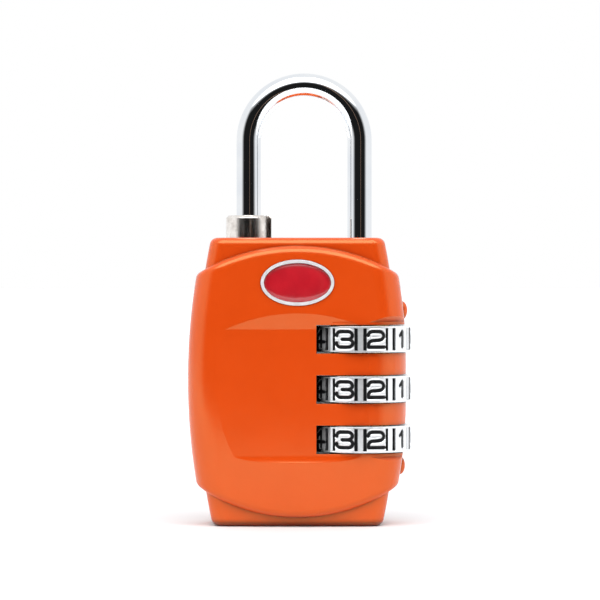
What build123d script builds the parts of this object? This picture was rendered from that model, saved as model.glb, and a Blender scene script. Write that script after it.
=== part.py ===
"""Small combination padlock for luggage, with three number dials and a keyed inspection barrel.

Millimetres. +Z is up, +X is the side where the dials are read, and the front faces -Y.
The origin is the centre of the flat base. The case is split into two halves at y = 0.
"""
from build123d import *
from math import asin, cos, radians, sin, sqrt, tan
import os

os.makedirs("parts", exist_ok=True)

# ---- Case -------------------------------------------------------------------------------------
case_height = 41.0
barrel_half_width = 15.65     # at its widest
barrel_half_depth = 7.0
barrel_side_bow = 1.25        # how far each side bulges between its corners
barrel_top_reveal = 1.2       # block showing above the barrel, at the middle
barrel_top_drop = 4.0         # how much lower the barrel's top edge is at its corners
barrel_base_reveal = 1.3
barrel_base_rise = 4.5
barrel_side_radius = 4.0      # the barrel's upright edges
barrel_end_radius = 1.15      # the edges round its top and base
face_bow_radius = 165.0       # the front's curve, seen from above
face_crown = 0.6              # how far the front leans back at the case's top and base

block_base_inset = 3.55       # from the barrel's widest to the inner block's side, at its base
block_top_inset = 3.35        # and at its top
block_waist_inset = 1.25      # and at half height, where the barrel hides it
block_half_depth = 5.3
block_side_radius = 2.2       # the block's upright front edges
block_end_radius = 1.1        # the edges round its top and base

dish_depth = 0.4              # shallow hollow across the face, with a flat floor
dish_top_drop = 10.7          # its upper edge, below the case's top
dish_top_slope = 6.5          # lean of its upper end, in degrees
dish_foot_rise = 9.1          # height of its lower edge
dish_foot_radius = 2.6        # its lower end is rounded

# ---- Shackle ----------------------------------------------------------------------------------
wire_radius = 1.75
leg_spacing = 15.9
leg_rise = 13.9               # straight part of the legs over the case
leg_end_height = 3.6          # z of the long leg's lower end
leg_end_bevel = 0.4
press_room = 1.6              # room under the long leg for changing the code
toe_depth = 1.5               # how far the short leg's end is below the case's top
toe_flat_gap = 0.2            # from the collar's top down to the toe's two flats
toe_thickness = 1.8           # across the flats
fin_radius = 3.1
fin_width = 1.2
fin_height = 1.0

# ---- Dials and code sleeves -------------------------------------------------------------------
dial_count = 3
digit_count = 10
dial_radius = 7.4
dial_proud = 0.65             # how far the dials stand out of the side
dial_height = 3.7
dial_pitch = 7.1
dial_drop = 1.0               # how far the middle dial is below half height
dial_rim_height = 0.3
dial_groove_width = 1.75
dial_groove_depth = 0.45
dial_ridge_width = 0.8
dial_ridge_depth = 0.15
sleeve_radius = 4.2
sleeve_lug_radius = 4.75
sleeve_lug_width = 0.8
sleeve_lug_height = 1.6
sleeve_gap = 0.1              # between one sleeve and the next
fin_room_height = 1.7         # turned-out foot of each sleeve, where its fin stands
fin_room_radius = 3.3
fin_lift_off = 0.35           # a fin's height over the foot of its sleeve

# ---- Clearances -------------------------------------------------------------------------------
running_gap = 0.08            # radial, between turning or sliding round pieces
dial_gap = 0.2                # radial, round a dial
dial_side_gap = 0.15          # over and under a dial
slot_gap = 0.2                # round a fin, a lug or the toe's flats
seat_gap = 0.03               # round pieces that are glued or dropped in

# ---- Dial windows and thumb scoop -------------------------------------------------------------
window_reach = 6.2            # from the dials' axis to the window's square end
window_inner_depth = 4.0      # how far the window's square end reaches towards the parting plane
scoop_inset = 0.7             # how far the dials stand out of the scoop
scoop_length = 3.9            # from the dials' axis to the scoop's end
scoop_reach = 0.6             # plain part of the scoop, over and under the dials
scoop_flare = 1.2             # rise of its ends for each millimetre outwards
scoop_flare_width = 5.3

# ---- Index bumps ------------------------------------------------------------------------------
bump_half_length = 1.35
bump_proud = 0.65
bump_half_width = 0.85
bump_offset = 4.0             # from an end dial's middle to the bump's middle

# ---- Code spring, washer and stop bush --------------------------------------------------------
chamber_floor_z = 5.0
washer_thickness = 0.6
washer_radius = 4.1
spring_wire_radius = 0.22
spring_mean_radius = 3.2
spring_turns = 3
bush_height = 2.4
bush_radius = 3.6
bush_gap = 0.1                # between the top fin and the bush, with the shackle lifted

# ---- Keyed barrel -----------------------------------------------------------------------------
collar_radius = 3.25
collar_proud = 3.2            # how far it stands out of the case
collar_length = 13.7
collar_bore_depth = 4.8
collar_slot_width = 2.1
collar_slot_angle = -20.0     # where the slot faces at rest, from +X
collar_bevel = 0.35
collar_clip_rise = 2.9        # from the collar's foot to its clip
clip_thickness = 0.7
clip_side_gap = 0.1           # over and under a clip
clip_mouth_width = 3.6
collar_clip_radius = 4.0
collar_groove_radius = 2.5
bar_width = 4.0
bar_thickness = 1.3
bar_grip = 1.7                # how deep the bar sits in the collar and in the plug
plug_radius = 2.9
plug_face_z = 0.3
plug_top_z = 18.4
plug_head_radius = 3.4
plug_head_foot_z = 0.5
plug_head_height = 0.7
plug_groove_foot_z = 16.6
plug_groove_radius = 2.2
plug_clip_radius = 3.5
housing_radius = 3.9
housing_foot_z = 1.25
housing_top_z = 16.5
keyway_width = 0.9
keyway_length = 4.2
keyway_ward = 0.5
keyway_top_z = 13.0
wafer_count = 5
wafer_pitch = 1.9
wafer_first_z = 3.0
wafer_width = 3.0
wafer_length = 4.8
wafer_thickness = 0.6
wafer_window_width = 1.4
wafer_window_length = 2.8
wafer_gap = 0.06
housing_groove_radius = 3.45

# ---- Case pins --------------------------------------------------------------------------------
pin_radius = 0.9
pin_length = 7.0
pin_bevel = 0.2
pin_end_room = 0.2
lower_pin_height = 3.8
upper_pin_drop = 5.2          # below the case's top
side_pin_inset = 3.05         # from the barrel's widest

# ---- Click spring -----------------------------------------------------------------------------
click_sheet = 0.3
click_room_reach = 1.0        # from the dial pockets' edge back to the strip's seat
click_width = 2.2
click_reach = 4.2             # how far the strip runs past the end dials' middles
click_slit_width = 0.4
click_nose_width = 0.8
click_nose_height = 2.6
click_gap = 0.1               # between a nose and the dial's rim

# ---- Badge ------------------------------------------------------------------------------------
badge_drop = 6.4              # its middle, below the case's top
badge_half_width = 5.2
badge_half_height = 3.25
badge_rim_width = 0.45
badge_rim_height = 0.6
badge_recess_depth = 0.5
badge_lens_height = 0.45
badge_lens_bevel = 0.2

# ---- Worked out from the sizes above ----------------------------------------------------------
front_half = Plane.XZ         # its normal points to the front, -Y
mid_height = case_height / 2
face_y = -barrel_half_depth
face_radius = mid_height ** 2 / (2 * face_crown) + face_crown / 2
block_base_half = barrel_half_width - block_base_inset
block_top_half = barrel_half_width - block_top_inset
block_waist_half = barrel_half_width - block_waist_inset

long_leg_x = barrel_half_width + dial_proud - dial_radius   # also the axis of the dials
short_leg_x = long_leg_x - leg_spacing                      # also the axis of the keyed barrel
long_leg_axis = Axis((long_leg_x, 0, 0), (0, 0, 1))
bow_height = case_height + leg_rise
toe_end_height = case_height - toe_depth
leg_bore_radius = wire_radius + running_gap

dial_names = ["bottom", "middle", "top"]
dial_middle_z = mid_height - dial_drop
dial_heights = [dial_middle_z + dial_pitch * (i - (dial_count - 1) / 2) for i in range(dial_count)]
pocket_radius = dial_radius + dial_gap
pocket_height = dial_height + 2 * dial_side_gap
window_left_x = long_leg_x - window_reach
scoop_radius = dial_radius - scoop_inset
scoop_outer_radius = scoop_radius + scoop_flare_width

sleeve_bore_radius = sleeve_radius + running_gap
sleeve_height = dial_pitch - sleeve_gap
sleeve_feet = [z - sleeve_height / 2 for z in dial_heights]
sleeve_room_top_z = sleeve_feet[-1] + sleeve_height + sleeve_gap
fin_heights = [z + fin_lift_off + fin_height / 2 for z in sleeve_feet]
shackle_lift = dial_pitch
bush_foot_z = fin_heights[-1] + fin_height / 2 + shackle_lift + bush_gap
washer_top_z = sleeve_feet[0] - sleeve_gap

collar_top_z = case_height + collar_proud
collar_floor_z = collar_top_z - collar_bore_depth
collar_foot_z = collar_top_z - collar_length
collar_clip_foot_z = collar_foot_z + collar_clip_rise
toe_flat_height = collar_top_z - toe_flat_gap
plug_clip_room_top_z = plug_groove_foot_z + clip_thickness + 2 * clip_side_gap
bar_room_radius = plug_radius + running_gap
wafer_heights = [wafer_first_z + wafer_pitch * i for i in range(wafer_count)]

centre_pin_x = (long_leg_x - pocket_radius + short_leg_x + housing_radius) / 2
side_pin_x = side_pin_inset - barrel_half_width
pin_places = [
    (centre_pin_x, lower_pin_height),
    (centre_pin_x, case_height - upper_pin_drop),
    (side_pin_x, mid_height),
]

click_back_x = long_leg_x - pocket_radius - click_room_reach
click_middle_y = -dial_radius * sin(radians(180 / digit_count))   # in line with a groove of the dials
click_tip_x = long_leg_x - sqrt((dial_radius + click_gap) ** 2 - click_middle_y ** 2)
click_room_edge = abs(click_middle_y) + click_nose_width
click_room_depth = long_leg_x - sqrt(pocket_radius ** 2 - click_room_edge ** 2) - click_back_x
click_foot_z = dial_heights[0] - click_reach
click_height = dial_heights[-1] + click_reach - click_foot_z

badge_z = case_height - badge_drop


def level(z, x=0.0, y=0.0):
    """A horizontal plane at height z, centred on (x, y)."""
    return Plane.XY.offset(z).shift_origin((x, y, z))


def face_depth(z):
    """y of the barrel's front face at its middle, at height z."""
    return face_y + face_radius - sqrt(face_radius ** 2 - (z - mid_height) ** 2)


def side_half_width(z):
    """x of the barrel's side at height z."""
    foot_z = barrel_base_reveal + barrel_base_rise
    shoulder_z = case_height - barrel_top_reveal - barrel_top_drop
    reach = (shoulder_z - foot_z) / 2
    bow_radius = (reach ** 2 + barrel_side_bow ** 2) / (2 * barrel_side_bow)
    middle_z = (shoulder_z + foot_z) / 2
    return barrel_half_width - bow_radius + sqrt(bow_radius ** 2 - (z - middle_z) ** 2)


badge_lean = asin((badge_z - mid_height) / face_radius)
badge_plane = Plane(
    (0, face_depth(badge_z), badge_z), x_dir=(1, 0, 0), z_dir=(0, -cos(badge_lean), sin(badge_lean))
)

# ---- The shape that both case halves share: the half with y < 0 -------------------------------
with BuildPart() as block:
    with BuildSketch(front_half):
        with BuildLine():
            Line((-block_base_half, 0), (block_base_half, 0))
            ThreePointArc((block_base_half, 0), (block_waist_half, mid_height), (block_top_half, case_height))
            Line((block_top_half, case_height), (-block_top_half, case_height))
            ThreePointArc((-block_top_half, case_height), (-block_waist_half, mid_height), (-block_base_half, 0))
        make_face()
    extrude(amount=block_half_depth)
    side_edges = block.faces().sort_by(Axis.Y)[0].edges().filter_by(GeomType.CIRCLE)
    fillet(side_edges, radius=block_side_radius)
    end_faces = block.faces().filter_by(Axis.Z).sort_by(Axis.Z)
    end_edges = (end_faces[0].edges() + end_faces[-1].edges()).filter_by(lambda e: e.center().Y < -1e-3)
    fillet(end_edges, radius=block_end_radius)

with BuildPart() as barrel:
    corner_half = barrel_half_width - barrel_side_bow
    foot_z = barrel_base_reveal + barrel_base_rise
    shoulder_z = case_height - barrel_top_reveal - barrel_top_drop
    waist_z = (foot_z + shoulder_z) / 2
    with BuildSketch(front_half):
        with BuildLine():
            ThreePointArc((-corner_half, foot_z), (0, barrel_base_reveal), (corner_half, foot_z))
            ThreePointArc((corner_half, foot_z), (barrel_half_width, waist_z), (corner_half, shoulder_z))
            ThreePointArc(
                (corner_half, shoulder_z), (0, case_height - barrel_top_reveal), (-corner_half, shoulder_z)
            )
            ThreePointArc((-corner_half, shoulder_z), (-barrel_half_width, waist_z), (-corner_half, foot_z))
        make_face()
    extrude(amount=barrel_half_depth + 1)
    bow_y = face_y + face_bow_radius
    with BuildSketch(Plane.YZ):
        with BuildLine():
            ThreePointArc(
                (2 * bow_y - face_depth(0), 0),
                (2 * bow_y - face_y, mid_height),
                (2 * bow_y - face_depth(case_height), case_height),
            )
            Polyline(
                (2 * bow_y - face_depth(case_height), case_height),
                (bow_y, case_height),
                (bow_y, 0),
                (2 * bow_y - face_depth(0), 0),
            )
        make_face()
    revolve(axis=Axis((0, bow_y, 0), (0, 0, 1)), mode=Mode.INTERSECT)
    front_edges = barrel.faces().sort_by(Axis.Y)[0].edges()
    fillet(front_edges.filter_by(lambda e: abs(e.center().X) > corner_half * 0.8), barrel_side_radius)
    end_faces = barrel.faces().filter_by(lambda f: abs(f.center().X) < 1 and f.center().Y > face_y * 0.9)
    end_faces = end_faces.filter_by(GeomType.CYLINDER)
    end_edges = end_faces.edges().filter_by(lambda e: e.center().Y < -1e-3)
    fillet(end_edges, barrel_end_radius)
    # The shallow dish across the face, open to both sides.
    dish_floor = face_y + dish_depth
    dish_top_z = case_height - dish_top_drop
    dish_slope = tan(radians(dish_top_slope))
    dish_fold_z = dish_top_z - (dish_floor - face_depth(dish_top_z)) / dish_slope
    dish_front = dish_floor - dish_foot_radius
    dish_foot_depth = dish_floor - face_depth(dish_foot_rise)
    dish_round_z = dish_foot_rise + sqrt(dish_foot_depth * (2 * dish_foot_radius - dish_foot_depth))
    with BuildSketch(Plane.YZ):
        Polygon(
            (dish_floor, dish_round_z),
            (dish_floor, dish_fold_z),
            (dish_front, dish_fold_z + dish_foot_radius / dish_slope),
            (dish_front, dish_round_z),
            align=None,
        )
        with Locations((dish_front, dish_round_z)):
            Circle(dish_foot_radius)
    extrude(amount=barrel_half_width + 1, both=True, mode=Mode.SUBTRACT)
    # The thumb scoop follows the dials' curve, and its ends flare outwards.
    scoop_top = dial_heights[-1] + dial_height / 2 + scoop_reach
    scoop_foot = dial_heights[0] - dial_height / 2 - scoop_reach
    scoop_rise = (scoop_outer_radius - scoop_radius) * scoop_flare
    scoop_profile = [
        (scoop_radius, scoop_foot),
        (scoop_radius, scoop_top),
        (scoop_outer_radius, scoop_top + scoop_rise),
        (scoop_outer_radius, scoop_foot - scoop_rise),
    ]
    with BuildSketch(Plane.XZ.shift_origin((long_leg_x, 0, 0))):
        Polygon(*scoop_profile, align=None)
    revolve(axis=long_leg_axis, revolution_arc=-90, mode=Mode.SUBTRACT)
    with BuildSketch(Plane((long_leg_x, 0, 0), x_dir=(0, -1, 0), z_dir=(-1, 0, 0))):
        Polygon(*scoop_profile, align=None)
    extrude(amount=scoop_length, mode=Mode.SUBTRACT)

with BuildPart() as case_half:
    add(block.part)
    add(barrel.part)
    # Raised marks at both ends of the line where the dials are read.
    for z in (dial_heights[0] - bump_offset, dial_heights[-1] + bump_offset):
        with BuildSketch(front_half):
            with Locations((side_half_width(z) + bump_proud - bump_half_width, z)):
                Ellipse(bump_half_width, bump_half_length)
            with Locations((side_half_width(z) + bump_proud - 2 * bump_half_width, z)):
                Rectangle(2 * bump_half_width, 2 * bump_half_length, mode=Mode.SUBTRACT)
        bump_axis = Axis((side_half_width(z) + bump_proud - bump_half_width, 0, 0), (0, 0, 1))
        revolve(axis=bump_axis)
    # A pocket for each dial, which opens to the front, the side and the back.
    for z in dial_heights:
        with BuildSketch(Plane.XY.offset(z - pocket_height / 2)):
            with Locations((long_leg_x, 0)):
                Circle(pocket_radius)
            with Locations((window_left_x, -window_inner_depth)):
                Rectangle(barrel_half_width, barrel_half_depth, align=(Align.MIN, Align.MAX))
        extrude(amount=pocket_height, mode=Mode.SUBTRACT)
    # Round rooms on the two upright axes: (x, radius, foot, top).
    rooms = [
        (long_leg_x, leg_bore_radius, leg_end_height - press_room, case_height + 1),
        (long_leg_x, sleeve_bore_radius, chamber_floor_z, sleeve_room_top_z),
        (long_leg_x, bush_radius, sleeve_room_top_z, bush_foot_z + bush_height),
        (short_leg_x, plug_radius + running_gap, -1, plug_head_foot_z),
        (short_leg_x, plug_head_radius + running_gap, plug_head_foot_z, housing_foot_z),
        (short_leg_x, housing_radius, housing_foot_z, plug_clip_room_top_z),
        (short_leg_x, bar_room_radius, plug_clip_room_top_z, collar_foot_z - clip_side_gap),
        (short_leg_x, collar_radius + running_gap, collar_foot_z - clip_side_gap, case_height + 1),
        (
            short_leg_x,
            collar_clip_radius + slot_gap,
            collar_clip_foot_z - clip_side_gap,
            collar_clip_foot_z + clip_thickness + clip_side_gap,
        ),
    ]
    for x, radius, foot, top in rooms:
        with BuildSketch(Plane.XY.offset(foot)):
            with Locations((x, 0)):
                Circle(radius)
        extrude(amount=top - foot, mode=Mode.SUBTRACT)
    # Blind holes for the pins that hold the halves together.
    with BuildSketch(front_half):
        with Locations(*pin_places):
            Circle(pin_radius)
    extrude(amount=pin_length / 2 + pin_end_room, mode=Mode.SUBTRACT)
    split(bisect_by=front_half, keep=Keep.TOP)

with BuildPart() as front_case:
    add(case_half.part)
    # Room for the click spring, open to the dial pockets.
    with BuildSketch(Plane.XY.offset(click_foot_z)):
        with Locations((click_back_x + click_room_depth / 2, click_middle_y)):
            Rectangle(click_room_depth, click_width + 2 * seat_gap)
    extrude(amount=click_height, mode=Mode.SUBTRACT)
    # Recess for the badge, square to the leaning face.
    with BuildSketch(badge_plane.offset(-badge_recess_depth)):
        Ellipse(badge_half_width + seat_gap, badge_half_height + seat_gap)
    extrude(amount=badge_recess_depth + 1, mode=Mode.SUBTRACT)
front_case.part.label = "front_case"
export_step(front_case.part, "parts/front_case.step")

with BuildPart() as rear_case:
    add(case_half.part)
    mirror(about=Plane.XZ, mode=Mode.REPLACE)
rear_case.part.label = "rear_case"
export_step(rear_case.part, "parts/rear_case.step")

with BuildPart() as case_pins:
    with BuildSketch(front_half.offset(-pin_length / 2)):
        with Locations(*pin_places):
            Circle(pin_radius)
    extrude(amount=pin_length)
    chamfer(case_pins.edges().filter_by(GeomType.CIRCLE), pin_bevel)
case_pins.part.label = "case_pins"
export_step(case_pins.part, "parts/case_pins.step")

# ---- Shackle ----------------------------------------------------------------------------------
with BuildPart() as shackle:
    bow_radius = (long_leg_x - short_leg_x) / 2
    bow_x = (long_leg_x + short_leg_x) / 2
    for x, foot in ((long_leg_x, leg_end_height), (short_leg_x, toe_end_height)):
        with BuildSketch(Plane.XY.offset(foot)):
            with Locations((x, 0)):
                Circle(wire_radius)
        extrude(amount=bow_height - foot)
    with BuildSketch(Plane.XY.offset(bow_height)):
        with Locations((long_leg_x, 0)):
            Circle(wire_radius)
    revolve(axis=Axis((bow_x, 0, bow_height), (0, -1, 0)), revolution_arc=180)
    leg_ends = shackle.faces().filter_by(Axis.Z).sort_by(Axis.Z)
    chamfer(leg_ends.edges(), leg_end_bevel)
    # Two flats on the toe, which let it leave sideways through the collar's slot.
    with BuildSketch(Plane.XY.offset(toe_end_height)):
        with Locations((short_leg_x, 0)):
            Rectangle(4 * wire_radius, 4 * wire_radius)
            Rectangle(toe_thickness, 4 * wire_radius, mode=Mode.SUBTRACT)
    extrude(amount=toe_flat_height - toe_end_height, mode=Mode.SUBTRACT)
    # One fin for each dial's sleeve.
    for z in fin_heights:
        with BuildSketch(Plane.XY.offset(z - fin_height / 2)):
            with Locations((long_leg_x + fin_radius / 2, 0)):
                Rectangle(fin_radius, fin_width)
        extrude(amount=fin_height)
shackle.part.label = "shackle"
export_step(shackle.part, "parts/shackle.step")

# ---- Dials and their code sleeves -------------------------------------------------------------
for name, z, sleeve_foot in zip(dial_names, dial_heights, sleeve_feet):
    pad_step = 360 / digit_count
    pad_height = dial_height - 2 * dial_rim_height
    with BuildPart() as dial:
        with BuildSketch(level(z - dial_height / 2, long_leg_x)):
            Circle(dial_radius)
            Circle(sleeve_bore_radius, mode=Mode.SUBTRACT)
            with PolarLocations(sleeve_radius, digit_count):
                Rectangle(
                    2 * (sleeve_lug_radius + slot_gap - sleeve_radius),
                    sleeve_lug_width + 2 * slot_gap,
                    mode=Mode.SUBTRACT,
                )
        extrude(amount=dial_height)
        # Grooves between the number pads, each with a low ridge along its middle.
        with BuildSketch(level(z - pad_height / 2, long_leg_x)):
            with PolarLocations(dial_radius, digit_count, start_angle=pad_step / 2):
                Rectangle(2 * dial_groove_depth, dial_groove_width)
            with PolarLocations(dial_radius - dial_groove_depth, digit_count, start_angle=pad_step / 2):
                Rectangle(
                    2 * (dial_groove_depth - dial_ridge_depth), dial_ridge_width, mode=Mode.SUBTRACT
                )
        extrude(amount=pad_height, mode=Mode.SUBTRACT)
    dial.part.label = "dial_" + name
    export_step(dial.part, "parts/dial_" + name + ".step")

    with BuildPart() as sleeve:
        with BuildSketch(level(sleeve_foot, long_leg_x)):
            Circle(sleeve_radius)
        extrude(amount=sleeve_height)
        with BuildSketch(level(z - sleeve_lug_height / 2, long_leg_x)):
            Circle(sleeve_radius)
            Rectangle(2 * sleeve_lug_radius, sleeve_lug_width)
        extrude(amount=sleeve_lug_height)
        with BuildSketch(level(sleeve_foot, long_leg_x)):
            Circle(leg_bore_radius)
            with Locations((fin_room_radius / 2, 0)):
                Rectangle(fin_room_radius, fin_width + 2 * slot_gap)
        extrude(amount=sleeve_height, mode=Mode.SUBTRACT)
        with BuildSketch(level(sleeve_foot, long_leg_x)):
            Circle(fin_room_radius)
        extrude(amount=fin_room_height, mode=Mode.SUBTRACT)
    sleeve.part.label = "code_sleeve_" + name
    export_step(sleeve.part, "parts/code_sleeve_" + name + ".step")

# ---- What stands in the long leg's bore -------------------------------------------------------
with BuildPart() as stop_bush:
    with BuildSketch(level(bush_foot_z, long_leg_x)):
        Circle(bush_radius)
        Circle(leg_bore_radius, mode=Mode.SUBTRACT)
    extrude(amount=bush_height)
stop_bush.part.label = "stop_bush"
export_step(stop_bush.part, "parts/stop_bush.step")

with BuildPart() as spring_washer:
    with BuildSketch(level(washer_top_z - washer_thickness, long_leg_x)):
        Circle(washer_radius)
        Circle(leg_bore_radius + slot_gap, mode=Mode.SUBTRACT)
    extrude(amount=washer_thickness)
spring_washer.part.label = "spring_washer"
export_step(spring_washer.part, "parts/spring_washer.step")

with BuildPart() as code_spring:
    spring_height = washer_top_z - washer_thickness - chamber_floor_z - 2 * spring_wire_radius
    with BuildLine():
        coil = Helix(
            pitch=spring_height / spring_turns,
            height=spring_height,
            radius=spring_mean_radius,
            center=(long_leg_x, 0, chamber_floor_z + spring_wire_radius),
        )
    with BuildSketch(Plane(origin=coil @ 0, z_dir=coil % 0)):
        Circle(spring_wire_radius)
    sweep()
code_spring.part.label = "code_spring"
export_step(code_spring.part, "parts/code_spring.step")

with BuildPart() as click_spring:
    # A strip of spring sheet, slit beside each nose so that the noses can give way.
    with BuildSketch(Plane.XY.offset(click_foot_z)):
        with Locations((click_back_x + click_sheet / 2, click_middle_y)):
            Rectangle(click_sheet, click_width)
    extrude(amount=click_height)
    for z in dial_heights:
        with BuildSketch(Plane.XY.offset(z - click_nose_height / 2)):
            nose_reach = click_tip_x - click_back_x
            with Locations((click_back_x + nose_reach / 2, click_middle_y)):
                Rectangle(nose_reach, click_nose_width)
        extrude(amount=click_nose_height)
        with BuildSketch(Plane.YZ.offset(click_back_x)):
            for side in (-1, 1):
                with Locations((click_middle_y + side * (click_nose_width + click_slit_width) / 2, z)):
                    Rectangle(click_slit_width, click_nose_height)
        extrude(amount=click_sheet, mode=Mode.SUBTRACT)
    tip_edges = click_spring.faces().filter_by(Axis.X).group_by(Axis.X)[-1].edges().filter_by(Axis.Z)
    fillet(tip_edges, click_nose_width * 0.4)
click_spring.part.label = "click_spring"
export_step(click_spring.part, "parts/click_spring.step")

# ---- Keyed barrel: collar, clip, bar, plug, wafers --------------------------------------------
with BuildPart() as slotted_collar:
    with BuildSketch(level(collar_foot_z, short_leg_x)):
        Circle(collar_radius)
    extrude(amount=collar_top_z - collar_foot_z)
    chamfer(slotted_collar.faces().sort_by(Axis.Z)[-1].edges(), collar_bevel)
    with BuildSketch(level(collar_floor_z, short_leg_x)):
        Circle(wire_radius + slot_gap)
        with Locations(Rotation(0, 0, collar_slot_angle) * Pos(collar_radius, 0, 0)):
            Rectangle(2 * collar_radius, collar_slot_width)
    extrude(amount=collar_top_z - collar_floor_z, mode=Mode.SUBTRACT)
    with BuildSketch(level(collar_clip_foot_z - clip_side_gap, short_leg_x)):
        Circle(collar_radius)
        Circle(collar_groove_radius, mode=Mode.SUBTRACT)
    extrude(amount=clip_thickness + 2 * clip_side_gap, mode=Mode.SUBTRACT)
    with BuildSketch(level(collar_foot_z, short_leg_x)):
        Rectangle(2 * collar_radius, bar_thickness + 2 * running_gap)
    extrude(amount=bar_grip, mode=Mode.SUBTRACT)
slotted_collar.part.label = "slotted_collar"
export_step(slotted_collar.part, "parts/slotted_collar.step")

with BuildPart() as key_plug:
    with BuildSketch(level(plug_face_z, short_leg_x)):
        Circle(plug_radius)
    extrude(amount=plug_top_z - plug_face_z)
    with BuildSketch(level(plug_head_foot_z, short_leg_x)):
        Circle(plug_head_radius)
    extrude(amount=plug_head_height)
    with BuildSketch(level(plug_groove_foot_z, short_leg_x)):
        Circle(plug_radius)
        Circle(plug_groove_radius, mode=Mode.SUBTRACT)
    extrude(amount=clip_thickness + 2 * clip_side_gap, mode=Mode.SUBTRACT)
    with BuildSketch(level(plug_top_z, short_leg_x)):
        Rectangle(2 * plug_radius, bar_thickness + 2 * running_gap)
    extrude(amount=-bar_grip, mode=Mode.SUBTRACT)
    # Keyway with one side ward, and a cross slot for each wafer.
    with BuildSketch(level(plug_face_z, short_leg_x)):
        Rectangle(keyway_width, keyway_length)
        with Locations((keyway_width / 2, keyway_length / 4)):
            Rectangle(2 * keyway_ward, keyway_ward)
    extrude(amount=keyway_top_z - plug_face_z, mode=Mode.SUBTRACT)
    for z in wafer_heights:
        with BuildSketch(level(z - wafer_thickness / 2 - wafer_gap, short_leg_x)):
            Rectangle(wafer_width + 2 * wafer_gap, 2 * plug_radius)
        extrude(amount=wafer_thickness + 2 * wafer_gap, mode=Mode.SUBTRACT)
key_plug.part.label = "key_plug"
export_step(key_plug.part, "parts/key_plug.step")

with BuildPart() as key_wafers:
    for z in wafer_heights:
        with BuildSketch(level(z - wafer_thickness / 2, short_leg_x)):
            Rectangle(wafer_width, wafer_length)
            Rectangle(wafer_window_width, wafer_window_length, mode=Mode.SUBTRACT)
        extrude(amount=wafer_thickness)
key_wafers.part.label = "key_wafers"
export_step(key_wafers.part, "parts/key_wafers.step")

with BuildPart() as plug_housing:
    with BuildSketch(level(housing_foot_z, short_leg_x)):
        Circle(housing_radius)
        Circle(plug_radius + running_gap, mode=Mode.SUBTRACT)
        Rectangle(wafer_width + 2 * slot_gap, 2 * housing_groove_radius, mode=Mode.SUBTRACT)
    extrude(amount=housing_top_z - housing_foot_z)
plug_housing.part.label = "plug_housing"
export_step(plug_housing.part, "parts/plug_housing.step")

with BuildPart() as drive_bar:
    bar_foot_z = plug_top_z - bar_grip
    with BuildSketch(level(bar_foot_z, short_leg_x)):
        Rectangle(bar_width, bar_thickness)
    extrude(amount=collar_foot_z + bar_grip - bar_foot_z)
drive_bar.part.label = "drive_bar"
export_step(drive_bar.part, "parts/drive_bar.step")

clips = [
    ("collar_clip", collar_clip_foot_z, collar_clip_radius, collar_groove_radius),
    ("plug_clip", plug_groove_foot_z + clip_side_gap, plug_clip_radius, plug_groove_radius),
]
for name, foot, radius, groove_radius in clips:
    with BuildPart() as clip:
        with BuildSketch(level(foot, short_leg_x)):
            Circle(radius)
            Circle(groove_radius + running_gap, mode=Mode.SUBTRACT)
            with Locations((0, radius / 2)):
                Rectangle(clip_mouth_width, radius, mode=Mode.SUBTRACT)
        extrude(amount=clip_thickness)
    clip.part.label = name
    export_step(clip.part, "parts/" + name + ".step")

# ---- Badge ------------------------------------------------------------------------------------
badge_floor = badge_plane.offset(-badge_recess_depth)
with BuildPart() as badge_rim:
    with BuildSketch(badge_floor):
        Ellipse(badge_half_width, badge_half_height)
        Ellipse(badge_half_width - badge_rim_width, badge_half_height - badge_rim_width, mode=Mode.SUBTRACT)
    extrude(amount=badge_rim_height)
badge_rim.part.label = "badge_rim"
export_step(badge_rim.part, "parts/badge_rim.step")

with BuildPart() as badge_lens:
    inset = badge_rim_width + seat_gap
    with BuildSketch(badge_floor):
        Ellipse(badge_half_width - inset, badge_half_height - inset)
    extrude(amount=badge_lens_height)
    fillet(badge_lens.faces().sort_by(Axis.Y)[0].edges(), badge_lens_bevel)
badge_lens.part.label = "badge_lens"
export_step(badge_lens.part, "parts/badge_lens.step")
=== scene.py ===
"""Looks of the luggage padlock: painted case, chromed shackle and dials, badge, studio and camera."""

import math

import bpy
import numpy as np
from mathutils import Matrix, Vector


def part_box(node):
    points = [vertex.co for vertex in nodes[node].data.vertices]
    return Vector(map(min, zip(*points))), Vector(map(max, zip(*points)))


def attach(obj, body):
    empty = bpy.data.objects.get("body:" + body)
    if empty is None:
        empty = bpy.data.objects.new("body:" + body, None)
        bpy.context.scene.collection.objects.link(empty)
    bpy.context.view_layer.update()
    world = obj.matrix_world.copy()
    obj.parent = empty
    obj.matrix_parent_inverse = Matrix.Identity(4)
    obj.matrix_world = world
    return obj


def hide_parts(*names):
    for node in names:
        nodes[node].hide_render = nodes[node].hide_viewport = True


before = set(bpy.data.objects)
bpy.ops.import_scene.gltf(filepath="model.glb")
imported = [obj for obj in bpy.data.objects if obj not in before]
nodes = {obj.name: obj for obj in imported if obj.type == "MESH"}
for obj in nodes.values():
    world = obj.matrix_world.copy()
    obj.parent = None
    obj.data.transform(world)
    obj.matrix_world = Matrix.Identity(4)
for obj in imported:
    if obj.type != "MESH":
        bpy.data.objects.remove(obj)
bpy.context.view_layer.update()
MM = 0.001

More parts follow.
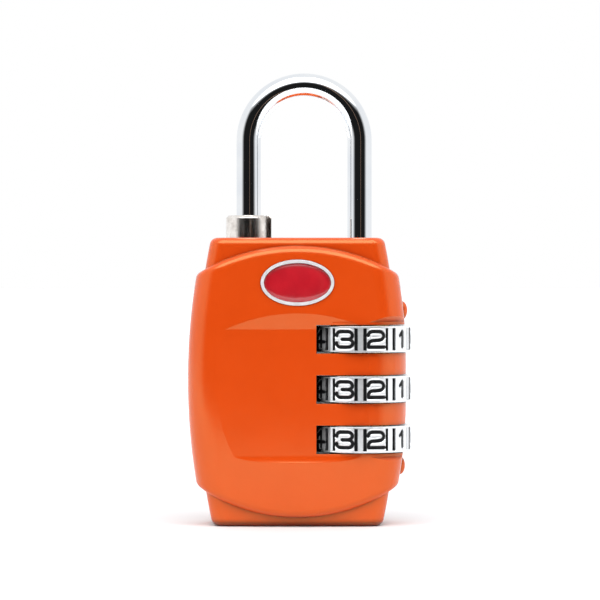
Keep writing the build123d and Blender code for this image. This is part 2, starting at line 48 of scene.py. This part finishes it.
# ---- Sizes, in millimetres ---------------------------------------------------------------------
DIAL_NAMES = ("bottom", "middle", "top")
DIGIT_COUNT = 10
CELL = 0.055                 # grid step on a dial's outside
WALL = 0.03                  # width of a steep wall on it
RIM_HEIGHT = 0.3
RIM_BEVEL = 0.07
PAD_WIDTH = 2.85
RIDGE_WIDTH = 0.78
SLOT_DEPTH = 0.4
RIDGE_DEPTH = 0.12
DIAL_BORE = 4.3
DIGIT_WIDTH = 2.42           # between the middles of its outer strokes
DIGIT_HEIGHT = 2.2
STROKE = 0.56
STROKE_DEPTH = 0.13
BEAD_WIDTH = 0.2             # raised line round each stroke
BEAD_HEIGHT = 0.05
GROOVE_INSIDE = 0.08         # a digit's wall starts this far inside its stroke's edge
GROOVE_OUTSIDE = 0.03        # and ends this far outside it
INK_INSIDE = 0.05            # the same for the ink's edge
INK_OUTSIDE = 0.02
SHARP_ANGLE = 40.0           # creases steeper than this stay sharp, in degrees
POCKET_GAP = 0.15            # over and under a dial
WINDOW_REACH = 6.2           # from the dials' axis to the window's square end
LENS_EDGE_HEIGHT = 0.1       # of the lens's dome at its rim, over the recess's floor
LENS_RINGS = 26
LENS_SEGMENTS = 96
CAMERA_DISTANCE = 420.0
EYE_HEIGHT = 36.0
AIM = (0.36, 32.1)
FRAME_WIDTH = 86.1           # what the picture spans at the middle of the case

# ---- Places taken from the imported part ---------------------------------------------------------
dial_boxes = {name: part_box("dial_" + name) for name in DIAL_NAMES}
low, high = dial_boxes["middle"]
dial_radius = (high.x - low.x) / 2 / MM
dial_height = (high.z - low.z) / MM
dial_x = (high.x + low.x) / 2 / MM
dial_heights = {name: (box[0].z + box[1].z) / 2 / MM for name, box in dial_boxes.items()}


# ---- Node material helpers ---------------------------------------------------------------------
class Maker:
    """A new node material, with short ways to add its nodes."""

    def __init__(self, name):
        self.material = bpy.data.materials.new(name)
        self.material.use_nodes = True
        self.tree = self.material.node_tree
        self.tree.nodes.clear()
        self.shader = self.node("ShaderNodeBsdfPrincipled")
        output = self.node("ShaderNodeOutputMaterial")
        self.link(self.shader.outputs["BSDF"], output.inputs["Surface"])

    def node(self, kind, **settings):
        made = self.tree.nodes.new(kind)
        for key, value in settings.items():
            setattr(made, key, value)
        return made

    def link(self, source, target):
        self.tree.links.new(source, target)

    def feed(self, target, value):
        """Sets a socket to a constant, or links another node's output to it."""
        if isinstance(value, bpy.types.NodeSocket):
            self.link(value, target)
        else:
            target.default_value = value

    def surface(self, **values):
        for key, value in values.items():
            self.feed(self.shader.inputs[key.replace("_", " ")], value)

    def math(self, operation, *values):
        made = self.node("ShaderNodeMath", operation=operation)
        for socket, value in zip(made.inputs, values):
            self.feed(socket, value)
        return made.outputs[0]

    def position(self):
        """Place on the object at rest, in metres."""
        return self.node("ShaderNodeTexCoord").outputs["Object"]

    def noise(self, scale, detail=2.0, stretch=None):
        vector = self.position()
        if stretch:
            mapping = self.node("ShaderNodeMapping")
            self.link(vector, mapping.inputs["Vector"])
            mapping.inputs["Scale"].default_value = stretch
            vector = mapping.outputs["Vector"]
        made = self.node("ShaderNodeTexNoise")
        self.link(vector, made.inputs["Vector"])
        made.inputs["Scale"].default_value = scale
        made.inputs["Detail"].default_value = detail
        return made.outputs["Fac"]

    def remap(self, value, low_in, high_in, low_out, high_out):
        made = self.node("ShaderNodeMapRange")
        self.feed(made.inputs["Value"], value)
        ends = {"From Min": low_in, "From Max": high_in, "To Min": low_out, "To Max": high_out}
        for key, number in ends.items():
            made.inputs[key].default_value = number
        return made.outputs["Result"]

    def mix(self, share, first, second):
        made = self.node("ShaderNodeMix", data_type="RGBA")
        self.feed(made.inputs["Factor"], share)
        self.feed(made.inputs["A"], first)
        self.feed(made.inputs["B"], second)
        return made.outputs["Result"]

    def bump(self, height, distance, strength=1.0, normal=None):
        made = self.node("ShaderNodeBump")
        made.inputs["Distance"].default_value = distance
        made.inputs["Strength"].default_value = strength
        self.link(height, made.inputs["Height"])
        if normal is not None:
            self.link(normal, made.inputs["Normal"])
        return made.outputs["Normal"]

    def soft_edges(self, radius):
        """Normals that round the edges by this radius, in metres."""
        made = self.node("ShaderNodeBevel", samples=6)
        made.inputs["Radius"].default_value = radius
        return made.outputs["Normal"]


# ---- Materials ---------------------------------------------------------------------------------
ORANGE_DEEP = (0.665, 0.062, 0.0045, 1)
ORANGE_LIGHT = (0.69, 0.066, 0.0055, 1)
ORANGE_PAINTED_SHADE = (0.22, 0.012, 0.002, 1)
POCKET_PAINTED_SHADE = (0.012, 0.011, 0.011, 1)
DIAL_SHADE_REACH = 1.2       # how far the dials' shading looks, in millimetres
PAINTED_SHADE_REACH = 1.8           # and that of the paint's painted shade
POCKET_EDGE_START = 0.06     # the pockets' painted shade starts this far before the window's end, in millimetres
POCKET_EDGE_END = 0.01       # and is full from here on
POCKET_MARGIN = 0.02         # how far the painted shade reaches past a pocket's floor and roof, in millimetres


def case_paint():
    m = Maker("case_paint_look")
    axes = m.node("ShaderNodeSeparateXYZ")
    m.link(m.position(), axes.inputs["Vector"])
    # Painted shade: the dial pockets are dark inside, with a near-black base colour and weaker
    # reflections.
    window_end = dial_x - WINDOW_REACH
    edge_start, edge_end = window_end - POCKET_EDGE_START, window_end - POCKET_EDGE_END
    past_end = m.remap(axes.outputs["X"], edge_start * MM, edge_end * MM, 0, 1)
    inside = 0.0
    for z in dial_heights.values():
        offset = m.math("ABSOLUTE", m.math("SUBTRACT", axes.outputs["Z"], z * MM))
        reach = dial_height / 2 + POCKET_GAP + POCKET_MARGIN
        inside = m.math("ADD", inside, m.math("LESS_THAN", offset, reach * MM))
    pocket = m.math("MULTIPLY", past_end, inside)
    drift = m.remap(m.noise(160, 3), 0.3, 0.7, 0, 1)
    paint = m.mix(drift, ORANGE_DEEP, ORANGE_LIGHT)
    # Painted shade: the paint's base colour darkens in the creases and under the rounded base, where
    # light barely gets in.
    open_sky = m.node("ShaderNodeAmbientOcclusion", samples=8)
    open_sky.inputs["Distance"].default_value = PAINTED_SHADE_REACH * MM
    crease_shade = m.remap(open_sky.outputs["AO"], 0.38, 0.9, 0, 1)
    paint = m.mix(crease_shade, ORANGE_PAINTED_SHADE, paint)
    m.surface(
        Base_Color=m.mix(pocket, paint, POCKET_PAINTED_SHADE),
        Roughness=m.remap(m.noise(900, 4), 0.3, 0.7, 0.14, 0.18),
        Specular_IOR_Level=m.remap(pocket, 0, 1, 0.85, 0.2),
        Specular_Tint=(1.0, 0.95, 0.42, 1),
    )
    rounded = m.soft_edges(0.00014)
    peel = m.bump(m.noise(1500, 2), 0.000012, 0.5, rounded)
    m.link(peel, m.shader.inputs["Normal"])
    return m.material


def chrome():
    m = Maker("shackle_chrome_look")
    cloud = m.remap(m.noise(260, 3), 0.35, 0.65, 0, 1)
    m.surface(
        Base_Color=m.mix(cloud, (0.80, 0.82, 0.85, 1), (0.86, 0.87, 0.88, 1)),
        Metallic=1.0,
        Roughness=m.remap(m.noise(1200, 4), 0.3, 0.7, 0.035, 0.075),
    )
    m.link(m.bump(m.noise(420, 2), 0.00001, 0.25), m.shader.inputs["Normal"])
    return m.material


def nickel():
    m = Maker("collar_nickel_look")
    brushed = m.noise(1400, 5, (1, 1, 0.12))
    cloud = m.remap(m.noise(900, 4), 0.35, 0.65, 0, 1)
    m.surface(
        Base_Color=m.mix(cloud, (0.70, 0.64, 0.59, 1), (0.92, 0.87, 0.82, 1)),
        Metallic=1.0,
        Roughness=m.remap(brushed, 0.3, 0.7, 0.1, 0.24),
    )
    m.link(m.bump(brushed, 0.00003, 0.6, m.soft_edges(0.00018)), m.shader.inputs["Normal"])
    return m.material


def dial_chrome():
    m = Maker("dial_chrome_look")
    ink = m.node("ShaderNodeAttribute", attribute_name="ink").outputs["Fac"]
    worn = m.remap(m.noise(2600, 3), 0.35, 0.65, 0, 1)
    open_sky = m.node("ShaderNodeAmbientOcclusion", samples=8)
    open_sky.inputs["Distance"].default_value = DIAL_SHADE_REACH * MM
    shade = m.remap(open_sky.outputs["AO"], 0.28, 0.72, 0, 1)
    silver = m.mix(worn, (0.84, 0.85, 0.87, 1), (0.93, 0.94, 0.95, 1))
    silver = m.mix(shade, (0.03, 0.028, 0.027, 1), silver)
    dark = m.mix(worn, (0.006, 0.006, 0.007, 1), (0.016, 0.016, 0.017, 1))
    m.surface(
        Base_Color=m.mix(ink, silver, dark),
        Metallic=m.remap(ink, 0, 1, 0.58, 0),
        Specular_IOR_Level=m.remap(ink, 0, 1, 0.5, 0.12),
        Roughness=m.math("ADD", m.remap(worn, 0, 1, 0.14, 0.2), m.math("MULTIPLY", ink, 0.25)),
    )
    m.link(m.bump(m.noise(900, 2), 0.00004, 0.5), m.shader.inputs["Normal"])
    return m.material


def plain_metal(name, dark, light, roughness, grain=900, metallic=1.0):
    """A metal with slight stains and a fine grain."""
    m = Maker(name)
    m.surface(
        Base_Color=m.mix(m.remap(m.noise(grain, 4), 0.35, 0.65, 0, 1), dark, light),
        Metallic=metallic,
        Roughness=m.remap(m.noise(grain * 2, 3), 0.3, 0.7, roughness, roughness + 0.12),
    )
    m.link(m.bump(m.noise(grain * 2, 3), 0.00001, 0.4, m.soft_edges(0.00008)), m.shader.inputs["Normal"])
    return m.material


def enamel():
    m = Maker("badge_enamel_look")
    cloud = m.remap(m.noise(420, 4), 0.3, 0.7, 0, 1)
    m.surface(
        Base_Color=m.mix(cloud, (0.44, 0.008, 0.017, 1), (0.54, 0.012, 0.022, 1)),
        Roughness=m.remap(m.noise(1100, 3), 0.3, 0.7, 0.16, 0.24),
        Coat_Weight=1.0,
        Coat_Roughness=0.03,
    )
    m.link(m.bump(m.noise(1500, 2), 0.00001, 0.3), m.shader.inputs["Normal"])
    return m.material


looks = {
    "case_paint": case_paint(),
    "shackle_chrome": chrome(),
    "dial_chrome": dial_chrome(),
    "collar_nickel": nickel(),
    "inner_steel": plain_metal("inner_steel_look", (0.42, 0.42, 0.43, 1), (0.58, 0.58, 0.59, 1), 0.28),
    "plug_brass": plain_metal("plug_brass_look", (0.62, 0.42, 0.16, 1), (0.78, 0.56, 0.24, 1), 0.24),
    "badge_silver": plain_metal(
        "badge_silver_look", (0.76, 0.73, 0.74, 1), (0.84, 0.81, 0.82, 1), 0.36, metallic=0.3,
    ),
    "badge_enamel": enamel(),
}

slot_nodes = {
    "case_paint": ("front_case", "rear_case"),
    "shackle_chrome": ("shackle",),
    "dial_chrome": ("dial_bottom", "dial_middle", "dial_top"),
    "collar_nickel": ("slotted_collar",),
    "inner_steel": (
        "case_pins", "click_spring", "code_spring", "spring_washer", "stop_bush", "drive_bar",
        "collar_clip", "plug_clip",
    ),
    "plug_brass": (
        "key_plug", "key_wafers", "plug_housing", "code_sleeve_bottom", "code_sleeve_middle",
        "code_sleeve_top",
    ),
    "badge_silver": ("badge_rim",),
    "badge_enamel": ("badge_lens",),
}
for slot_name, names in slot_nodes.items():
    for name in names:
        nodes[name].data.materials.clear()
        nodes[name].data.materials.append(looks[slot_name])


# ---- Meshes ------------------------------------------------------------------------------------
def add_mesh(name, points, faces, look, body, stands_for, attribute=None):
    """A piece that rides on a body and stands for a CAD node. Points are in millimetres."""
    mesh = bpy.data.meshes.new(name)
    mesh.from_pydata((np.asarray(points) * MM).tolist(), [], faces)
    mesh.update()
    mesh.shade_smooth()
    mesh.set_sharp_from_angle(angle=math.radians(SHARP_ANGLE))
    if attribute is not None:
        layer = mesh.attributes.new("ink", "FLOAT", "POINT")
        layer.data.foreach_set("value", np.asarray(attribute, np.float32))
    mesh.materials.append(look)
    made = bpy.data.objects.new(name, mesh)
    bpy.context.scene.collection.objects.link(made)
    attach(made, body)
    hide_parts(stands_for)
    return made


# ---- Digits ------------------------------------------------------------------------------------
def arc(cx, cy, rx, ry, start, end, steps=10):
    """Points along part of an ellipse, from one angle to another, in degrees."""
    angles = [math.radians(start + (end - start) * i / steps) for i in range(steps + 1)]
    return [(cx + rx * math.cos(a), cy + ry * math.sin(a)) for a in angles]


def digit_strokes(digit):
    """Middle lines of a digit's strokes, in a box from -1 to 1 both ways."""
    return {
        0: [arc(0, 0.35, 0.85, 0.65, 0, 180) + arc(0, -0.35, 0.85, 0.65, 180, 360) + [(0.85, 0.35)]],
        1: [[(-0.35, 0.45), (0.1, 1), (0.1, -1)]],
        2: [
            arc(-0.5, 0.5, 0.5, 0.5, 180, 90, 5) + arc(0.35, 0.45, 0.6, 0.55, 90, -80, 9)
            + arc(-0.35, -0.65, 0.62, 0.5, 80, 170, 6) + [(-0.95, -1), (1, -1)]
        ],
        3: [
            arc(-0.5, 0.55, 0.5, 0.45, 190, 90, 5) + arc(0.4, 0.5, 0.55, 0.5, 90, -90, 9) + [(-0.3, 0)],
            [(-0.3, 0)] + arc(0.4, -0.5, 0.6, 0.5, 90, -90, 9) + arc(-0.5, -0.55, 0.5, 0.45, 270, 170, 5),
        ],
        4: [[(0.45, -1), (0.45, 1), (-0.95, -0.35), (1, -0.35)]],
        5: [
            [(0.9, 1), (-0.75, 1), (-0.85, 0.15), (0.1, 0.2)] + arc(0.25, -0.4, 0.7, 0.6, 80, -90, 9)
            + arc(-0.45, -0.55, 0.5, 0.45, 270, 190, 5)
        ],
        6: [
            arc(0.25, 0.35, 0.7, 0.65, 40, 90, 4) + arc(-0.2, 0.1, 0.7, 0.9, 90, 180, 7)
            + arc(0, -0.4, 0.9, 0.6, 180, 520, 18)
        ],
        7: [[(-0.9, 1), (0.9, 1), (-0.15, -1)]],
        8: [arc(0, 0.52, 0.75, 0.48, 0, 360, 16), arc(0, -0.48, 0.9, 0.52, 0, 360, 16)],
        9: [
            arc(0, 0.4, 0.9, 0.6, 0, 340, 18) + [(0.9, 0.1)] + arc(0.2, -0.1, 0.7, 0.9, 0, -90, 7)
            + arc(-0.25, -0.35, 0.6, 0.65, 270, 220, 4)
        ],
    }[digit]


def stroke_distance(digit, across, up):
    """Distance in millimetres from each grid point to the nearest stroke's middle line."""
    nearest = np.full(across.shape, 9.0)
    for line in digit_strokes(digit):
        line = [(x * DIGIT_WIDTH / 2, y * DIGIT_HEIGHT / 2) for x, y in line]
        for (ax, ay), (bx, by) in zip(line, line[1:]):
            dx, dy = bx - ax, by - ay
            share = ((across - ax) * dx + (up - ay) * dy) / max(dx * dx + dy * dy, 1e-9)
            share = np.clip(share, 0, 1)
            nearest = np.minimum(nearest, np.hypot(across - ax - share * dx, up - ay - share * dy))
    return nearest


def smooth_step(value, low_edge, high_edge):
    share = np.clip((value - low_edge) / (high_edge - low_edge), 0, 1)
    return share * share * (3 - 2 * share)


def stations(edges):
    """Grid lines between the given edges, CELL or less apart, with each edge as one line."""
    lines = []
    for start, end in zip(edges, edges[1:]):
        count = max(1, math.ceil((end - start) / CELL))
        lines += [start + (end - start) * i / count for i in range(count)]
    return lines + [edges[-1]]


def build_dial(name):
    pitch = 2 * math.pi * dial_radius / DIGIT_COUNT
    half_gap = (pitch - PAD_WIDTH) / 2
    half_ridge = RIDGE_WIDTH / 2
    half_height = dial_height / 2
    room = half_height - RIM_HEIGHT
    # One pitch, from the middle of one gap to the middle of the next.
    one = stations([
        0, half_ridge, half_ridge + WALL, half_gap - WALL, half_gap,
        pitch - half_gap, pitch - half_gap + WALL, pitch - half_ridge - WALL, pitch - half_ridge, pitch,
    ])[:-1]
    rows = np.array(stations([
        -half_height, -half_height + RIM_BEVEL, -room - WALL, -room, room, room + WALL,
        half_height - RIM_BEVEL, half_height,
    ]))
    across = np.array(one)
    u, v = np.meshgrid(across, rows, indexing="ij")
    from_gap = np.minimum(u, pitch - u)
    ridge = 1 - smooth_step(from_gap, half_ridge, half_ridge + WALL)
    pad = smooth_step(from_gap, half_gap - WALL, half_gap)
    in_room = 1 - smooth_step(np.abs(v), room, room + WALL)
    gap_depth = (1 - pad) * ((1 - ridge) * SLOT_DEPTH + ridge * RIDGE_DEPTH) * in_room
    gap_ink = (1 - pad) * (1 - ridge) * in_room
    bevel = np.clip((np.abs(v) - (half_height - RIM_BEVEL)) / RIM_BEVEL, 0, 1) * RIM_BEVEL
    points, inks = [], []
    for digit in range(DIGIT_COUNT):
        distance = stroke_distance(digit, u - pitch / 2, v) - STROKE / 2
        groove = 1 - smooth_step(distance, -GROOVE_INSIDE, GROOVE_OUTSIDE)
        bead = np.exp(-((distance - BEAD_WIDTH / 2) / (BEAD_WIDTH / 3)) ** 2) * pad
        radius = dial_radius - BEAD_HEIGHT - bevel - gap_depth
        radius = radius - groove * pad * STROKE_DEPTH + bead * BEAD_HEIGHT
        centre = -2 * math.pi * digit / DIGIT_COUNT
        angle = centre + (u - pitch / 2) / dial_radius
        x, y = dial_x + radius * np.cos(angle), radius * np.sin(angle)
        points.append(np.stack([x, y, v + dial_heights[name]], -1))
        digit_ink = (1 - smooth_step(distance, -INK_INSIDE, INK_OUTSIDE)) * pad
        inks.append(np.maximum(gap_ink, digit_ink))
    # Digits run against the azimuth, so the blocks are put in order of rising azimuth.
    points = np.concatenate(points[:1] + points[:0:-1])
    inks = np.concatenate(inks[:1] + inks[:0:-1])
    columns, height = points.shape[:2]
    outside = points.reshape(-1, 3)
    angle = np.arctan2(points[:, 0, 1], points[:, 0, 0] - dial_x)
    bore = np.stack([dial_x + DIAL_BORE * np.cos(angle), DIAL_BORE * np.sin(angle)], -1)
    floor_z, top_z = dial_heights[name] - half_height, dial_heights[name] + half_height
    bore_low = np.column_stack([bore, np.full(columns, floor_z)])
    bore_high = np.column_stack([bore, np.full(columns, top_z)])
    all_points = np.concatenate([outside, bore_low, bore_high])
    ink = np.concatenate([inks.ravel(), np.zeros(2 * columns)])
    i = np.arange(columns)
    after = (i + 1) % columns
    faces = []
    for j in range(height - 1):
        here, beyond = i * height + j, after * height + j
        faces.append(np.column_stack([here, beyond, beyond + 1, here + 1]))
    low_ring, high_ring = columns * height, columns * height + columns
    last = height - 1
    faces.append(np.column_stack([after * height, i * height, low_ring + i, low_ring + after]))
    top, top_after = i * height + last, after * height + last
    faces.append(np.column_stack([top, top_after, high_ring + after, high_ring + i]))
    faces.append(np.column_stack([low_ring + after, low_ring + i, high_ring + i, high_ring + after]))
    add_mesh(
        "dial_" + name + "_face", all_points, np.concatenate(faces).tolist(),
        looks["dial_chrome"], name + "_dial", "dial_" + name, ink,
    )


for dial_name in DIAL_NAMES:
    build_dial(dial_name)


# ---- Badge lens --------------------------------------------------------------------------------
def build_lens():
    """A low oval dome, square to the leaning badge."""
    mesh = nodes["badge_lens"].data
    corners = np.array([v.co for v in mesh.vertices]) / MM
    centre = (corners.max(0) + corners.min(0)) / 2
    # The floor of the recess gives the direction of the badge.
    flat = max(mesh.polygons, key=lambda f: f.normal.y)
    outwards = -np.array(flat.normal)
    right = np.array((1.0, 0.0, 0.0))
    upwards = np.cross(outwards, right)
    heights = (corners - centre) @ outwards
    floor_point = centre + outwards * heights.min()
    half_width = np.abs((corners - centre) @ right).max()
    half_height = np.abs((corners - centre) @ upwards).max()
    dome = heights.max() - heights.min()
    points = [floor_point, floor_point + outwards * dome]
    profile = [(1.0, 0.0)]
    for i in range(LENS_RINGS):
        angle = math.pi / 2 * i / LENS_RINGS
        profile.append((math.cos(angle), LENS_EDGE_HEIGHT + (dome - LENS_EDGE_HEIGHT) * math.sin(angle)))
    for share, height in profile:
        for k in range(LENS_SEGMENTS):
            a = 2 * math.pi * k / LENS_SEGMENTS
            points.append(
                floor_point + right * half_width * share * math.cos(a)
                + upwards * half_height * share * math.sin(a) + outwards * height
            )
    faces = []
    for ring in range(len(profile) - 1):
        first = 2 + ring * LENS_SEGMENTS
        for k in range(LENS_SEGMENTS):
            a, b = first + k, first + (k + 1) % LENS_SEGMENTS
            faces.append((a, b, b + LENS_SEGMENTS, a + LENS_SEGMENTS))
    last = 2 + (len(profile) - 1) * LENS_SEGMENTS
    for k in range(LENS_SEGMENTS):
        n = (k + 1) % LENS_SEGMENTS
        faces.append((0, 2 + n, 2 + k))
        faces.append((1, last + k, last + n))
    add_mesh("badge_lens_dome", points, faces, looks["badge_enamel"], "case", "badge_lens")


build_lens()


# ---- Studio ------------------------------------------------------------------------------------
FLOOR_REACH = 6.0             # metres to the sides and to the back
FLOOR_FRONT = 0.15            # metres of floor in front of the lock, before the dark room starts
FLOOR_DROP = 0.00002          # metres between the floor and the lock's base
SHADE_START = 0.03            # painted shade: the floor turns from grey to white over this stretch in front, in metres
SHADE_END = 0.11


def build_floor():
    mesh = bpy.data.meshes.new("studio_floor")
    corners = [
        (-FLOOR_REACH, -FLOOR_FRONT, 0), (FLOOR_REACH, -FLOOR_FRONT, 0),
        (FLOOR_REACH, FLOOR_REACH, 0), (-FLOOR_REACH, FLOOR_REACH, 0),
    ]
    mesh.from_pydata(corners, [], [(0, 1, 2, 3)])
    m = Maker("studio_floor_look")
    axes = m.node("ShaderNodeSeparateXYZ")
    m.link(m.position(), axes.inputs["Vector"])
    # Painted shade: the floor's base colour is greyer close in front of the lock and whiter further away,
    # with a little random tone.
    away = m.remap(axes.outputs["Y"], -SHADE_START, -SHADE_END, 0, 1)
    floor_shade_and_tone = m.math("ADD", away, m.remap(m.noise(60, 3), 0.3, 0.7, -0.05, 0.05))
    m.surface(Base_Color=m.mix(floor_shade_and_tone, (0.76, 0.76, 0.76, 1), (0.95, 0.95, 0.95, 1)), Roughness=0.7)
    mesh.materials.append(m.material)
    floor = bpy.data.objects.new("studio_floor", mesh)
    floor.location.z = -FLOOR_DROP
    bpy.context.scene.collection.objects.link(floor)


build_floor()

DARK_HALF_ANGLE = 57.0        # of the unlit room round the camera, to each side, in degrees
DARK_TOP = 29.0               # and up to this elevation
DARK_SIDE_SOFTNESS = 0.25     # half of the blend at its sides, in radians
DARK_TOP_SOFTNESS = 0.15      # and at its top
SLIT_MIDDLE = 10.0            # a warm strip in it, to the camera's right
SLIT_HALF_WIDTH = 1.2
ROOF_FOOT = (30.0, 40.0)      # the bright roof fades in between these elevations
ROOF_TOP = (76.0, 84.0)       # fades out between these
ROOF_SIDE = (58.0, 72.0)      # and to each side between these azimuths
TENT_STRENGTH = 1.0
ROOF_STRENGTH = 4.2
SLIT_STRENGTH = 0.3
DARK_STRENGTH = 0.012


def build_world():
    world = bpy.data.worlds.new("light_tent")
    bpy.context.scene.world = world
    world.use_nodes = True
    tree = world.node_tree
    tree.nodes.clear()

    def add(kind, **settings):
        made = tree.nodes.new(kind)
        for key, value in settings.items():
            setattr(made, key, value)
        return made

    def calc(operation, *values):
        made = add("ShaderNodeMath", operation=operation)
        for socket, value in zip(made.inputs, values):
            if isinstance(value, bpy.types.NodeSocket):
                tree.links.new(value, socket)
            else:
                socket.default_value = value
        return made.outputs[0]

    def ramp(value, low_in, high_in):
        made = add("ShaderNodeMapRange", interpolation_type="SMOOTHSTEP")
        tree.links.new(value, made.inputs["Value"])
        made.inputs["From Min"].default_value = low_in
        made.inputs["From Max"].default_value = high_in
        return made.outputs["Result"]

    direction = add("ShaderNodeSeparateXYZ")
    tree.links.new(add("ShaderNodeTexCoord").outputs["Generated"], direction.inputs["Vector"])
    x, y, z = (direction.outputs[axis] for axis in "XYZ")
    towards_camera = calc("MULTIPLY", y, -1.0)
    azimuth = calc("ARCTAN2", x, towards_camera)
    elevation = calc("ARCSINE", z)
    aside = calc("ABSOLUTE", azimuth)
    edge = math.radians(DARK_HALF_ANGLE)
    beside = ramp(aside, edge - DARK_SIDE_SOFTNESS, edge + DARK_SIDE_SOFTNESS)
    top = math.radians(DARK_TOP)
    above = ramp(elevation, top - DARK_TOP_SOFTNESS, top + DARK_TOP_SOFTNESS)
    tent = calc("MAXIMUM", beside, above)
    roof_foot = ramp(elevation, *map(math.radians, ROOF_FOOT))
    roof_top = ramp(elevation, *map(math.radians, ROOF_TOP))
    roof = calc("SUBTRACT", roof_foot, roof_top)
    past_roof = ramp(aside, *map(math.radians, ROOF_SIDE))
    roof = calc("MULTIPLY", roof, calc("SUBTRACT", 1.0, past_roof))
    from_slit = calc("ABSOLUTE", calc("SUBTRACT", azimuth, math.radians(SLIT_MIDDLE)))
    half_slit = math.radians(SLIT_HALF_WIDTH)
    slit = calc("SUBTRACT", 1.0, ramp(from_slit, half_slit * 0.5, half_slit * 1.5))
    slit = calc("MULTIPLY", slit, calc("SUBTRACT", 1.0, tent))
    strength = calc("ADD", calc("MULTIPLY", tent, TENT_STRENGTH - DARK_STRENGTH), DARK_STRENGTH)
    strength = calc("ADD", strength, calc("MULTIPLY", roof, ROOF_STRENGTH - TENT_STRENGTH))
    strength = calc("ADD", strength, calc("MULTIPLY", slit, SLIT_STRENGTH))
    colour = add("ShaderNodeMix", data_type="RGBA")
    tree.links.new(slit, colour.inputs["Factor"])
    colour.inputs["A"].default_value = (0.97, 0.985, 1.0, 1)
    colour.inputs["B"].default_value = (1.0, 0.62, 0.42, 1)
    lit = add("ShaderNodeBackground")
    tree.links.new(colour.outputs["Result"], lit.inputs["Color"])
    tree.links.new(strength, lit.inputs["Strength"])
    seen = add("ShaderNodeBackground")
    seen.inputs["Color"].default_value = (1, 1, 1, 1)
    seen.inputs["Strength"].default_value = 1.0
    choice = add("ShaderNodeMixShader")
    tree.links.new(add("ShaderNodeLightPath").outputs["Is Camera Ray"], choice.inputs["Fac"])
    tree.links.new(lit.outputs["Background"], choice.inputs[1])
    tree.links.new(seen.outputs["Background"], choice.inputs[2])
    output = add("ShaderNodeOutputWorld")
    tree.links.new(choice.outputs["Shader"], output.inputs["Surface"])


build_world()


FILL_PLACE = (0, -0.9, 0.35)
FILL_TARGET = (0, 0, 0.02)    # the middle of the case
FILL_SIZE = 0.6
FILL_POWER = 0.1


def look_at(made, place, target):
    """Puts a light or camera at a place and turns it to a target, both in metres."""
    made.location = place
    made.rotation_mode = "QUATERNION"
    made.rotation_quaternion = (Vector(target) - Vector(place)).to_track_quat("-Z", "Y")


def build_fill_light():
    """A weak soft light from the front that the chrome doesn't mirror."""
    data = bpy.data.lights.new("front_fill", "AREA")
    data.shape = "RECTANGLE"
    data.size = data.size_y = FILL_SIZE
    data.energy = FILL_POWER
    made = bpy.data.objects.new("front_fill", data)
    look_at(made, FILL_PLACE, FILL_TARGET)
    made.visible_glossy = False
    bpy.context.scene.collection.objects.link(made)


build_fill_light()

# ---- Camera ------------------------------------------------------------------------------------
SENSOR_WIDTH = 36.0
CLIP_START = 0.01             # metres
CLIP_END = 50.0


def build_camera():
    data = bpy.data.cameras.new("camera")
    made = bpy.data.objects.new("camera", data)
    bpy.context.scene.collection.objects.link(made)
    eye = (AIM[0] * MM, -CAMERA_DISTANCE * MM, EYE_HEIGHT * MM)
    look_at(made, eye, (AIM[0] * MM, 0, AIM[1] * MM))
    data.sensor_width = SENSOR_WIDTH
    data.lens = SENSOR_WIDTH * CAMERA_DISTANCE / FRAME_WIDTH
    data.clip_start = CLIP_START
    data.clip_end = CLIP_END
    bpy.context.scene.camera = made


build_camera()

bpy.context.scene.view_settings.view_transform = "Standard"
